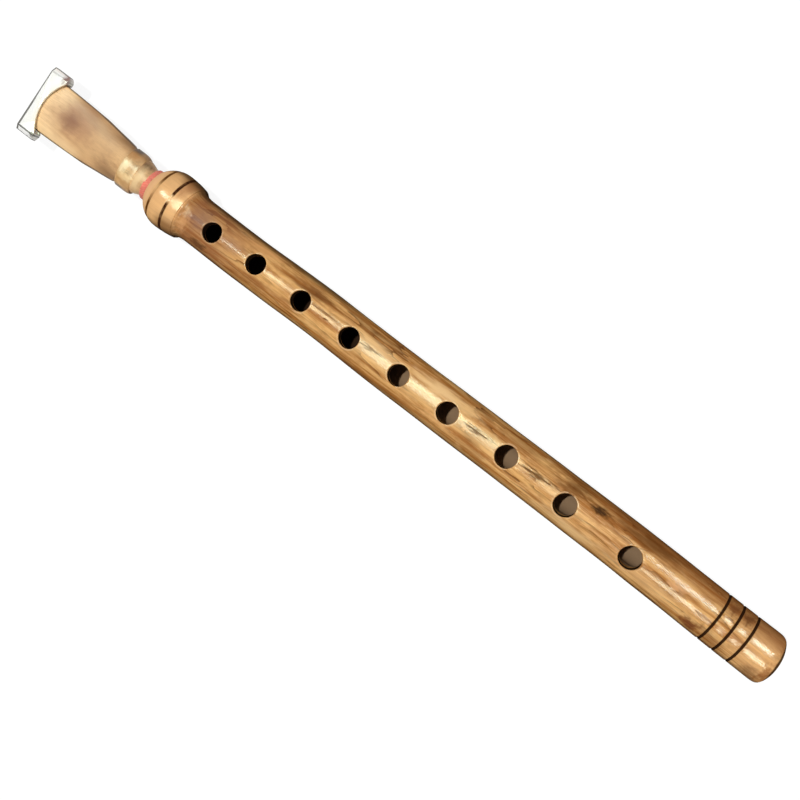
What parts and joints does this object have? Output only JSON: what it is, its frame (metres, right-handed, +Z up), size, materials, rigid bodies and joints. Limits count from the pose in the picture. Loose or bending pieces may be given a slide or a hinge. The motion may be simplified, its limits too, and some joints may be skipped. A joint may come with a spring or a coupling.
{
  "type": "duduk",
  "caption": "Double-reed woodwind: bored wooden tube with a bulb head, finger holes, a flattened cane reed with bridle and tip cap, seated by a red thread winding.",
  "frame": {"origin": "under the middle of the whole instrument, at the height of the table that the bulb lies on", "axes": "+X along the bore from the reed to the foot, +Z up, the finger holes' side, +Y to the left of the bore seen from the reed"},
  "size_m": [0.4242, 0.0352, 0.0289],
  "materials": {
    "body_wood": "gloss lacquer",
    "reed_cane": "scraped cane, satin",
    "thread": "wound thread",
    "bridle_cane": "natural cane skin",
    "cap_plastic": "ivory, polished"
  },
  "bodies": {
    "body": {"body": "body_wood"},
    "reed": {"reed": "reed_cane", "thread_winding": "thread"},
    "bridle": {"bridle": "bridle_cane"},
    "reed_cap": {"reed_cap": "cap_plastic"}
  },
  "joints": [
    {"name": "reed_pull", "type": "slide", "parent": "body", "child": "reed", "axis": [-1, 0, 0], "range_m": [0, 0.016]},
    {"name": "bridle_slide", "type": "slide", "parent": "reed", "child": "bridle", "axis": [1, 0, 0], "range_m": [0, 0.002]},
    {"name": "cap_pull", "type": "slide", "parent": "reed", "child": "reed_cap", "axis": [-1, 0, 0], "range_m": [0, 0.012]}
  ]
}
